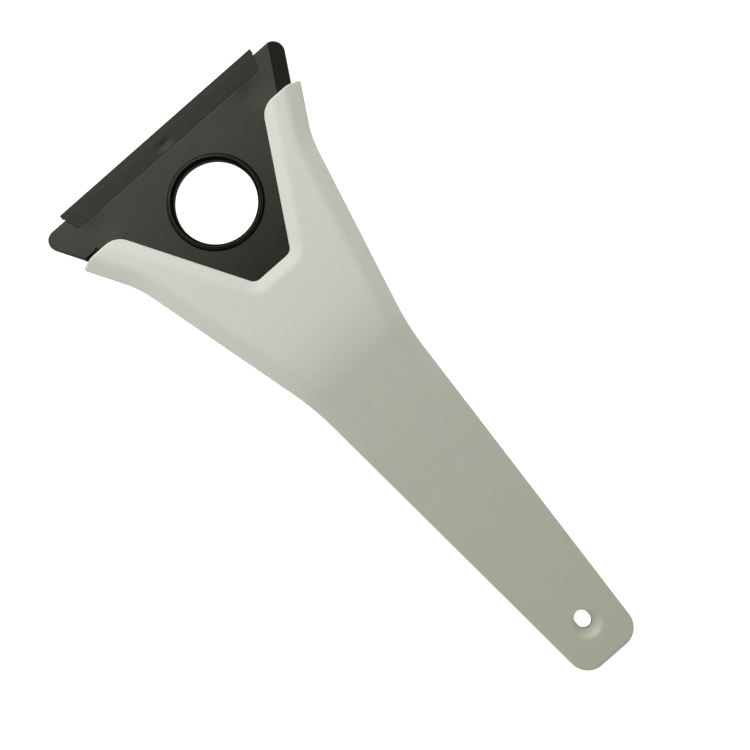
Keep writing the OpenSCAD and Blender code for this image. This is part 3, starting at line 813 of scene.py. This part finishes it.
class HeadForm:
    """The head's outline and surfaces, in its own frame about the centre of the finger hole."""

    def __init__(self, s):
        self.s = s
        self.half = s.plate_t / 2
        self.lip_reach = s.carrier_reach + s.lip_out
        self.seat_w = s.lip_w / 2 - s.lip_band * PANEL_BACK_SHARE
        self.seat_low_w = self.seat_w - (s.carrier_reach - s.seat_reach) * math.tan(SEAT_END_ANGLE)
        self.edge_loop = self.outline()

    def outline(self):
        """The plate's outline, with the gaps between its teeth."""
        s = self.s
        side = side_x(s.edge_reach, s.carrier_reach)
        bottom = -s.edge_reach / math.sin(SIDE_ANGLE)
        turn = Matrix.Rotation(SIDE_ANGLE - math.pi, 2)
        pitch = s.toothed_length / (s.tooth_gaps - 1 + TOOTH_GAP_SHARE)
        mouth = pitch * TOOTH_GAP_SHARE / 2
        root = mouth * TOOTH_ROOT_SHARE
        tips = ((0, bottom), (side, s.carrier_reach), (-side, s.carrier_reach))
        corners = [(x, y, s.corner_r) for x, y in tips]
        outer, inner = (0, s.edge_r), (s.tooth_depth, s.edge_r * 2)
        for i in range(s.tooth_gaps):
            middle = (i - (s.tooth_gaps - 1) / 2) * pitch
            for (back, radius), along in ((outer, -mouth), (inner, -root), (inner, root), (outer, mouth)):
                place = turn @ Vector((s.edge_reach - back, middle + along))
                corners.append((place.x, place.y, radius))
        return rounded(corners)

    def depth_at_edge(self, points, turn):
        """How far each point lies inside an edge, and its place along it."""
        out = np.array((math.cos(turn), math.sin(turn)))
        along = np.array((-math.sin(turn), math.cos(turn)))
        return self.s.edge_reach - points @ out, points @ along

    def top(self, points):
        """Height of the plate's front face."""
        s = self.s
        fall = s.plate_t - s.edge_t
        inside, _ = self.depth_at_edge(points, -SIDE_ANGLE)
        bevel = fall * (1 - inside / s.bevel_w)
        bevel = soft_max(bevel, 0 * bevel, blend_of(s.bevel_r, fall / s.bevel_w))
        inside, along = self.depth_at_edge(points, SIDE_ANGLE - math.pi)
        teeth_w = s.tooth_depth + s.tooth_land
        start = np.minimum((s.bevel_start - points[:, 1]) * START_SLOPE, s.bevel_length / 2 - along)
        teeth = np.minimum(fall * (1 - inside / teeth_w), start)
        cut = np.maximum(bevel, np.maximum(teeth, 0))
        worn = (s.hint_r, s.hint_depth)
        for turn, (radius, depth) in zip(CORNERS, ((s.dish_r, s.dish_depth), worn, worn)):
            centre = s.dish_reach * np.array((math.cos(turn), math.sin(turn)))
            out = np.linalg.norm(points - centre, axis=1) / radius
            cut = np.maximum(cut, hollow(out, depth, DISH_BLEND_SHARE))
        edges = rounding(self.to_outline(points), s.edge_r)
        seam = rounding(self.to_seat(points), s.seam_r)
        return self.half - np.maximum(cut + edges, seam)

    def bottom(self, points):
        """Height of the plate's back face."""
        return -self.half + rounding(self.to_outline(points), self.s.edge_r)

    def to_outline(self, points):
        """Distance of each point from the plate's outline."""
        return distance(points, self.edge_loop + self.edge_loop[:1])

    def seat_corners(self):
        """Right half of the seat's outline, from the middle of its inner side."""
        s = self.s
        corner = (self.seat_low_w, s.seat_reach, s.seat_corner_r)
        return [(0, s.seat_reach, 0), corner, (self.seat_w, s.carrier_reach, 0)]

    def to_seat(self, points):
        """Distance of each point from the seat's outline."""
        return distance(folded(points), rounded(self.seat_corners(), closed=False))


def head_form():
    """The head's form from the sizes in the scene."""
    return HeadForm(bpy.context.scene.scraper_head)


def plate_piece():
    """The black plate, with its bevels, teeth, dishes and the seat of the rubber."""
    form = head_form()
    s = form.s
    hole = circle(s.finger_r + s.ring_wall + RING_GAP, HOLE_SIDES)
    far = 2 * s.edge_reach
    cuts = grid(steps(-far, s.carrier_reach, s.cell)[1:-1], steps(-far, far, s.cell)[1:-1])
    side = Vector((math.cos(SIDE_ANGLE), -math.sin(SIDE_ANGLE), 0))
    fine = [s.seam_r * share for share in CREASE_ROWS]
    cuts += [(side * (s.edge_reach - s.bevel_w + BEVEL_SPREAD * d), side) for d in fine]
    cuts += grid([s.seat_reach + d for d in fine])
    wall = (s.plate_t - s.edge_t) / START_SLOPE
    cuts += grid([s.bevel_start - d for d in (0, wall / 2, wall)])
    toothed = Vector((-side.x, side.y, 0))
    cuts.append((toothed * (s.edge_reach - s.tooth_depth - s.tooth_land), toothed))
    for sign in (1, -1):
        normal = Vector((math.cos(SEAT_END_ANGLE) * sign, -math.sin(SEAT_END_ANGLE), 0))
        corner = Vector((form.seat_w * sign, s.carrier_reach, 0))
        cuts += [(corner + normal * d, normal) for d in fine]
    bm = sheet([form.edge_loop, hole], PLATE_RINGS, cuts)
    thicken(bm, form.bottom, form.top)
    piece = make("scraper_head", bm)
    outer = (form.seat_w + s.lip_out * math.tan(SEAT_END_ANGLE), form.lip_reach, 0)
    right = [form.seat_corners()[1], outer]
    carve(piece, prism(rounded(right + mirrored(right)), form.half - s.seat_depth, s.plate_t))
    piece.data.transform(in_head())
    return piece


def rubber_piece():
    """The rubber: a panel let into the plate, and a lip along its outer side."""
    form = head_form()
    s = form.s
    gap = s.seam_gap
    half = s.lip_w / 2
    right = [
        (form.seat_low_w - gap, s.seat_reach + gap, s.seat_corner_r),
        (form.seat_w - gap, s.carrier_reach, 0),
        (form.seat_w - s.notch, s.carrier_reach + s.notch, 0),
        (form.seat_w - s.notch, s.carrier_reach + 2 * s.notch, 0),
        (half, s.carrier_reach + 3 * s.notch, 0),
        (half, form.lip_reach, 2 * s.seam_r),
    ]
    loop = rounded(right + mirrored(right))
    step_y = form.lip_reach - s.lip_band
    rows = steps(s.seat_reach, step_y, s.cell)[1:-1]
    rows += [step_y + d for d in (-s.seam_r, -s.seam_r / 2, 0, STEP_WALL, s.lip_groove, s.lip_band / 2)]
    bm = sheet([loop], PLATE_RINGS, grid(rows, steps(0, half, s.cell)[1:-1]), mirror=True)
    outline = loop + loop[:1]

    def top(points):
        """Height of the rubber's front face."""
        y = points[:, 1]
        past = np.maximum(y - step_y, 0)
        groove = np.maximum(s.lip_groove - past, 0)
        band = form.half - s.lip_step - past * LIP_FALL - groove
        panel = form.half - rounding(np.maximum(step_y - y, 0), s.seam_r)
        across = (y - s.hollow_reach) * np.where(y > s.hollow_reach, HOLLOW_EASE, 1)
        out = np.hypot(points[:, 0] / s.hollow_w, across / s.hollow_h) * 2
        panel = panel - hollow(out, s.hollow_depth, HOLLOW_BLEND_SHARE)
        return np.where(past > STEP_WALL / 2, band, panel) - rounding(distance(points, outline), s.seam_r)

    def bottom(points):
        """Height of the rubber's back face."""
        rise = s.plate_t - s.lip_step - s.lip_t
        return np.where(points[:, 1] - step_y > STEP_WALL / 2, rise - form.half, -form.half)

    thicken(bm, bottom, top)
    piece = make("wiping_rubber", bm)
    carve(piece, block((2 * s.lip_w, s.carrier_reach, s.plate_t), (0, s.carrier_reach / 2, -s.seat_depth)))
    piece.data.transform(in_head())
    return piece


def turned(section, sides):
    """A closed ring or disc, turned about the Z axis from a section of (radius, height)."""
    bm = bmesh.new()
    verts = [bm.verts.new((r, 0, z)) for r, z in section]
    edges = [bm.edges.new(pair) for pair in zip(verts, verts[1:])]
    if section[0][0] > JOIN:
        edges.append(bm.edges.new((verts[-1], verts[0])))
    about = {"cent": (0, 0, 0), "axis": (0, 0, 1), "angle": math.tau, "use_merge": True}
    bmesh.ops.spin(bm, geom=verts + edges, steps=sides, **about)
    bmesh.ops.remove_doubles(bm, verts=bm.verts[:], dist=JOIN)
    bmesh.ops.recalc_face_normals(bm, faces=bm.faces[:])
    return bm


# Materials

# The grey plastic's tint on the fork, and on the grip where it is painted lighter and warmer as painted light,
# and where along Y that starts and is full
FORK_TINT = (1, 1, 1.01)
GRIP_PAINTED_LIGHT_TINT = (1.05, 1.05, 0.99)
PAINTED_LIGHT_START_Y = 0.02
PAINTED_LIGHT_FULL_Y = -0.12

# A noise's values that clear specks or clouds spread over 0 to 1
SPECK_BAND = (0.35, 0.65)

# Tint of the blacks' sheen
SHEEN_TINT = (0.955, 1, 0.8, 1)

# Dust on the rubber
DUST = (0.08, 0.08, 0.07)

# Heights over the plate's middle between which the ring's bore turns from black to a lighter brown, painted
# light from below
BORE_BLACK_Z = 1.8 * MM
BORE_PAINTED_LIGHT_Z = 0.6 * MM

# Light that the floor gives off
FLOOR_GLOW = (1, 1, 1, 1)


def maths(operation, reflected=False):
    """An operator on values, which adds its Math node."""

    def added(self, other):
        first, second = (other, self) if reflected else (self, other)
        return self.tree.add("ShaderNodeMath", {"operation": operation}, {0: first, 1: second})

    return added


class Value:
    """An output socket that takes part in sums and products."""

    def __init__(self, tree, socket):
        self.tree = tree
        self.socket = socket

    __add__, __radd__ = maths("ADD"), maths("ADD", reflected=True)
    __sub__, __rsub__ = maths("SUBTRACT"), maths("SUBTRACT", reflected=True)
    __mul__, __rmul__ = maths("MULTIPLY"), maths("MULTIPLY", reflected=True)


class Tree:
    """A shader's node tree, emptied and built node by node."""

    def __init__(self, owner):
        owner.use_nodes = True
        self.nodes = owner.node_tree.nodes
        self.links = owner.node_tree.links
        self.nodes.clear()

    def add(self, kind, settings=None, sockets=None, output=0):
        """A node of that kind, with its settings and then the values or links of its sockets."""
        node = self.nodes.new(kind)
        for key, value in (settings or {}).items():
            setattr(node, key, value)
        for key, value in (sockets or {}).items():
            if isinstance(value, Value):
                self.links.new(value.socket, node.inputs[key])
            else:
                node.inputs[key].default_value = value
        return Value(self, node.outputs[output]) if node.outputs else None

    def part(self, vector, axis):
        """One part of a vector, by its letter."""
        return self.add("ShaderNodeSeparateXYZ", sockets={"Vector": vector}, output=axis)


class Finish(Tree):
    """A procedural material round one Principled shader."""

    def __init__(self, name):
        self.material = bpy.data.materials.new(name)
        super().__init__(self.material)
        self.place = self.add("ShaderNodeTexCoord", output="Object")

    def noise(self, scale, detail=2.0, roughness=0.5, per_axis=None):
        """Values from 0 to 1 that vary over about 1 / scale metres. The scale can be multiplied per axis."""
        place = self.place
        if per_axis:
            place = self.add("ShaderNodeMapping", sockets={"Vector": place, "Scale": per_axis})
        sockets = {"Vector": place, "Scale": scale, "Detail": detail, "Roughness": roughness}
        return self.add("ShaderNodeTexNoise", sockets=sockets)

    def ramp(self, value, low, high):
        """A value brought from low..high to 0..1."""
        sockets = {"Value": value, "From Min": low, "From Max": high}
        return self.add("ShaderNodeMapRange", {"clamp": True}, sockets)

    def specks(self, scale, detail=2.0):
        """Clear specks or clouds, from 0 to 1."""
        return self.ramp(self.noise(scale, detail), *SPECK_BAND)

    def mix(self, share, first, second):
        """A colour between two colours."""
        first, second = ((*c, 1) if isinstance(c, tuple) else c for c in (first, second))
        return self.add("ShaderNodeMix", {"data_type": "RGBA"}, {0: share, 6: first, 7: second}, 2)

    def vectors(self, operation, first, second, output=0):
        """A product or a distance of two vectors."""
        return self.add("ShaderNodeVectorMath", {"operation": operation}, {0: first, 1: second}, output)

    def bump(self, height, depth, strength=0.5, below=None):
        """A normal from a height from 0 to 1, over a depth in metres."""
        sockets = {"Height": height, "Distance": depth, "Strength": strength}
        if below:
            sockets["Normal"] = below
        return self.add("ShaderNodeBump", sockets=sockets)

    def made(self, tone, sheen, normal, **more):
        """The material. Its shader's other sockets go by name, with _ for each space."""
        sockets = {"Base Color": tone, "Roughness": sheen, "Normal": normal}
        sockets |= {key.replace("_", " "): value for key, value in more.items()}
        shader = self.add("ShaderNodeBsdfPrincipled", sockets=sockets)
        self.add("ShaderNodeOutputMaterial", sockets={"Surface": shader})
        return self.material


def shaded(base, *factors):
    """A colour made lighter or darker, by one factor or by one for each of its three parts."""
    return tuple(min(1.0, c * factor) for c, factor in zip(base, factors * 3))


def known(build):
    """A material by the name of the function that builds it, built the first time it is asked for."""
    name = build.__name__
    return bpy.data.materials.get(name) or build(Finish(name), bpy.context.scene.scraper_finishes)


def grey_plastic(f, colours):
    """Satin grey plastic: a fine moulded grain, a faint warm and cool mottle, and painted light that makes the
    grip lighter and warmer.
    """
    base = colours.grey
    mottle = f.ramp(f.noise(60, detail=3.0), 0.36, 0.64)
    tone = f.mix(mottle, shaded(base, 1.005, 1, 0.99), shaded(base, 0.995, 0.992, 1.01))
    # Painted light: the grip is painted lighter and warmer than the fork
    grip_painted_light = f.ramp(f.part(f.place, "Y"), PAINTED_LIGHT_START_Y, PAINTED_LIGHT_FULL_Y)
    tone = f.vectors("MULTIPLY", tone, f.mix(grip_painted_light, FORK_TINT, GRIP_PAINTED_LIGHT_TINT))
    tone = f.mix(0.1 * f.specks(900), tone, shaded(base, 0.72))
    grain = f.noise(1500, detail=3.0, roughness=0.6)
    sheen = 0.4 + 0.1 * f.noise(55, detail=3.0) + 0.05 * grain
    normal = f.bump(grain, 0.03 * MM, below=f.bump(f.noise(24), 0.12 * MM, strength=0.35))
    return f.made(tone, sheen, normal, IOR=1.46)


def slot_wall_painted_shade(f, colours):
    """Rough wall of the hanging slot, painted darker than the faces: painted shade inside the slot."""
    cloud = f.noise(400)
    tone = f.mix(cloud, shaded(colours.grey, 0.3), shaded(colours.grey, 0.45))
    return f.made(tone, 0.8, f.bump(cloud, 0.03 * MM), IOR=1.3)


def black_plastic(f, colours):
    """Satin black plastic with a fine grain and faint rubbed streaks along the slide's direction."""
    base = colours.black
    tone = f.mix(f.specks(45, detail=3.0), shaded(base, 0.6), shaded(base, 1.5))
    streaks = f.ramp(f.noise(60, per_axis=(14, 1.2, 1)), 0.6, 0.75)
    tone = f.mix(0.3 * streaks, tone, shaded(base, 1.7))
    tone = f.mix(0.5 * f.specks(800), tone, shaded(base, 2.6, 2.4, 2.6))
    grain = f.noise(1700, detail=3.0, roughness=0.6)
    sheen = 0.18 + 0.05 * f.noise(70, detail=3.0) + 0.04 * grain
    normal = f.bump(grain, 0.01 * MM)
    return f.made(tone, sheen, normal, IOR=1.36, Specular_Tint=SHEEN_TINT)


def black_rubber(f, colours):
    """Matt rubber with faint drawn lines along the lip, a little dust and one spot rubbed smooth."""
    base = colours.rubber
    head = bpy.context.scene.scraper_head
    spot = in_head() @ Vector((0, head.hollow_reach, head.plate_t / 2))
    rubbed = f.ramp(f.vectors("DISTANCE", f.place, spot, 1), head.hollow_w / 2, head.hollow_w / 6)
    lines = f.noise(90, detail=3.0, per_axis=(0.25, 9, 1))
    tone = f.mix(f.ramp(lines, 0.3, 0.7), shaded(base, 0.6), shaded(base, 1.5))
    tone = f.mix(0.5 * f.specks(800), tone, shaded(base, 2.6, 2.4, 2.2))
    tone = f.mix(0.1 * f.ramp(f.noise(900), 0.7, 0.8), tone, DUST)
    sheen = 0.42 + 0.12 * lines - 0.2 * rubbed
    normal = f.bump(f.noise(2200), 0.03 * MM, below=f.bump(lines, 0.05 * MM, strength=0.4))
    return f.made(tone, sheen, normal, IOR=1.36, Specular_Tint=SHEEN_TINT)


def glossy_plastic(f, colours):
    """Smooth black plastic of the ring, with a faint grain."""
    cloud = f.noise(120)
    tone = f.mix(cloud, shaded(colours.ring, 0.85), shaded(colours.ring, 1.2))
    sheen = 0.1 + 0.05 * cloud
    normal = f.bump(f.noise(1200), 0.01 * MM)
    return f.made(tone, sheen, normal, IOR=1.3, Specular_Tint=SHEEN_TINT)


def matt_bore_painted_light(f, colours):
    """Dull wall inside the ring, painted a lighter brown below its crest as painted light from below."""
    base = shaded(colours.ring, 1)
    cloud = f.noise(200)
    tone = f.mix(cloud, shaded(base, 16, 13, 11), shaded(base, 21, 17, 15))
    y, z = (f.part(f.place, axis) for axis in "YZ")
    height = (y - HOLE.y) * math.sin(HEAD_TILT) + (z - HOLE.z) * math.cos(HEAD_TILT)
    tone = f.mix(f.ramp(height, BORE_BLACK_Z, BORE_PAINTED_LIGHT_Z), base, tone)
    return f.made(tone, 0.8, f.bump(cloud, 0.02 * MM), IOR=1.05)


def bright_steel(f, colours):
    """Brushed steel of the screws, the spring and the rivet."""
    brushed = f.noise(400, per_axis=(8, 1, 1))
    tone = f.mix(brushed, shaded(colours.steel, 0.85), shaded(colours.steel, 1.1))
    sheen = 0.28 + 0.15 * brushed
    return f.made(tone, sheen, f.bump(brushed, 0.01 * MM), Metallic=1.0)


def pale_floor(f, colours):
    """White paper sweep, lit a little from itself so that it stays pale under the part."""
    fibre = f.noise(300, detail=3.0)
    tone = f.mix(fibre, shaded(colours.floor, 0.98), shaded(colours.floor, 1))
    normal = f.bump(fibre, 0.05 * MM, strength=0.3)
    return f.made(tone, 0.9, normal, Emission_Color=FLOOR_GLOW, Emission_Strength=1.0)


# The finish of each material slot
SLOT_FINISHES = {
    "handle_grey": grey_plastic,
    "head_black": black_plastic,
    "rubber_black": black_rubber,
    "ring_black": glossy_plastic,
    "spring_steel": bright_steel,
    "screw_steel": bright_steel,
}


# Operators

# Width of the camera's film in millimetres, and the nearest distance that it sees
FILM_W = 36
NEAREST = 0.01


class SCRAPER_OT_handle_shells(bpy.types.Operator):
    """Makes the two grey halves of the handle, cut out for the head and for what lies inside"""

    bl_idname = "scraper.handle_shells"
    bl_label = "Handle shells"

    def execute(self, context):
        handle_shell("handle_front", "front_shell", 1, pocket, spring_room, buffer_room)
        handle_shell("handle_back", "back_shell", -1, pocket, buffer_room, bores)
        return {"FINISHED"}


class SCRAPER_OT_head_plate(bpy.types.Operator):
    """Makes the black plate with its bevelled edge, its teeth and its dishes"""

    bl_idname = "scraper.head_plate"
    bl_label = "Head plate"

    def execute(self, context):
        finish_piece(plate_piece(), "head", "head_black", "head_plate")
        return {"FINISHED"}


class SCRAPER_OT_rubber_blade(bpy.types.Operator):
    """Makes the rubber panel and its lip"""

    bl_idname = "scraper.rubber_blade"
    bl_label = "Rubber blade"

    def execute(self, context):
        finish_piece(rubber_piece(), "head", "rubber_black", "squeegee_blade")
        return {"FINISHED"}


class SCRAPER_OT_finger_ring(bpy.types.Operator):
    """Makes the glossy ring round the finger hole"""

    bl_idname = "scraper.finger_ring"
    bl_label = "Finger ring"

    def execute(self, context):
        s = context.scene.scraper_head
        half = s.plate_t / 2
        foot = (s.finger_r + s.ring_wall, half)
        rim = [(s.finger_r + s.ring_w * out, half + s.ring_rise * up) for out, up in RING_SECTION]
        skirt = rim[: max(range(len(rim)), key=lambda i: rim[i][1]) + 1]
        under = [(s.finger_r + s.ring_w * out, -half - s.ring_rise * up) for out, up in UNDER_SECTION]
        under += [(r, -z) for r, z in reversed([foot, *skirt])]
        bm = turned([foot, *rim, *under], RING_SIDES)
        bm.transform(in_head())
        piece = make("finger_ring_trim", bm)
        finish_piece(piece, "head", "ring_black", "finger_ring")
        # The bore gets a dull finish with painted light from below its crest
        piece.data.materials.append(known(matt_bore_painted_light))
        from_head = in_head().inverted()
        bore = s.finger_r + s.ring_w * BORE_SHARE
        for face in piece.data.polygons:
            face.material_index = int((from_head @ face.center).xy.length < bore)
        return {"FINISHED"}


class SCRAPER_OT_screw_caps(bpy.types.Operator):
    """Makes the five caps over the screws in the back shell"""

    bl_idname = "scraper.screw_caps"
    bl_label = "Screw caps"

    def execute(self, context):
        s = context.scene.scraper_handle
        r, half, mark_r, mark = s.cap_r, s.cap_t / 2, s.cap_dimple_r, s.cap_dimple_depth
        section = [(0, half), (r, half), (r, s.cap_chamfer - half), (r - s.cap_chamfer, -half)]
        section += [(mark_r, -half), (mark_r * MARK_SLOPE[0], mark * MARK_SLOPE[1] - half), (0, mark - half)]
        for node, place in cap_places(handle_form()):
            bm = turned(section, CAP_SIDES)
            bm.transform(place)
            finish_piece(make(node.replace("plug", "cap"), bm), "handle", "handle_grey", node)
        return {"FINISHED"}


class SCRAPER_OT_cad_parts(bpy.types.Operator):
    """Gives the parts that keep their own shape a finish"""

    bl_idname = "scraper.cad_parts"
    bl_label = "Carried-over parts"

    def execute(self, context):
        for row in frame["record"]["subparts"]:
            mesh = frame["nodes"][row["node"]].data
            mesh.materials.clear()
            mesh.materials.append(known(SLOT_FINISHES[row["material_slot"]]))
        return {"FINISHED"}


class SCRAPER_OT_stage(bpy.types.Operator):
    """Sets the floor, the light and the camera"""

    bl_idname = "scraper.stage"
    bl_label = "Stage"

    def execute(self, context):
        scene = context.scene
        s = scene.scraper_stage
        bm = bmesh.new()
        bmesh.ops.create_grid(bm, x_segments=1, y_segments=1, size=s.floor_w / 2)
        bmesh.ops.translate(bm, vec=(0, 0, -s.floor_drop), verts=bm.verts[:])
        floor = make("floor", bm)
        floor.data.materials.append(known(pale_floor))

        scene.world = bpy.data.worlds.new("studio")
        sky = Tree(scene.world)
        towards = sky.add("ShaderNodeTexCoord", output="Generated")
        ahead, up = (sky.part(towards, axis) for axis in "YZ")
        strength = s.ambient * (1 - up * up) * (1 + s.ambient_slant * ahead)
        light = {"Color": (*s.ambient_tint, 1), "Strength": strength}
        sky.add("ShaderNodeOutputWorld", sockets={"Surface": sky.add("ShaderNodeBackground", sockets=light)})

        towards_key = Matrix.Rotation(-s.key_tilt, 3, "X") @ Vector((0, 0, 1))
        towards_key.rotate(Matrix.Rotation(s.key_turn, 3, "Z"))
        lamp = bpy.data.lights.new("key", "AREA")
        lamp.size = s.key_w
        lamp.energy = s.key_power
        lamp.color = s.key_tint
        put(lamp, HOLE + towards_key * s.key_distance, towards_key.to_track_quat("Z", "Y").to_euler())

        camera = bpy.data.cameras.new("camera")
        camera.sensor_width = FILM_W
        camera.lens = camera.sensor_width * (s.camera_h - s.level) / s.view_w
        camera.clip_start = NEAREST
        scene.camera = put(camera, (s.view_x, s.view_y, s.camera_h), (0, 0, s.turn))
        scene.view_settings.view_transform = "Standard"
        return {"FINISHED"}


class SCRAPER_PT_panel(bpy.types.Panel):
    """Lists what makes the scraper"""

    bl_label = "Ice Scraper"
    bl_idname = "SCRAPER_PT_panel"
    bl_space_type = "VIEW_3D"
    bl_region_type = "UI"
    bl_category = "Ice Scraper"

    def draw(self, context):
        for operator in OPERATORS:
            self.layout.operator(operator.bl_idname)
        for name, group in GROUPS.items():
            for key in group.__annotations__:
                self.layout.prop(getattr(context.scene, name), key)


GROUPS = {
    "scraper_handle": HandleSizes,
    "scraper_head": HeadSizes,
    "scraper_finishes": Finishes,
    "scraper_stage": StageSizes,
}
OPERATORS = (
    SCRAPER_OT_cad_parts,
    SCRAPER_OT_handle_shells,
    SCRAPER_OT_head_plate,
    SCRAPER_OT_rubber_blade,
    SCRAPER_OT_finger_ring,
    SCRAPER_OT_screw_caps,
    SCRAPER_OT_stage,
)
CLASSES = (*GROUPS.values(), *OPERATORS, SCRAPER_PT_panel)


def register():
    """Registers the classes, and gives the scene their sizes and colours."""
    for item in CLASSES:
        bpy.utils.register_class(item)
    for name, group in GROUPS.items():
        setattr(bpy.types.Scene, name, PointerProperty(type=group))


def unregister():
    """Takes away what register adds."""
    for name in GROUPS:
        delattr(bpy.types.Scene, name)
    for item in reversed(CLASSES):
        bpy.utils.unregister_class(item)


def main():
    """Makes every piece and the stage."""
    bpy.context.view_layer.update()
    register()
    bpy.ops.scraper.cad_parts()
    bpy.ops.scraper.handle_shells()
    bpy.ops.scraper.head_plate()
    bpy.ops.scraper.rubber_blade()
    bpy.ops.scraper.finger_ring()
    bpy.ops.scraper.screw_caps()
    bpy.ops.scraper.stage()


if __name__ == "__main__":
    main()
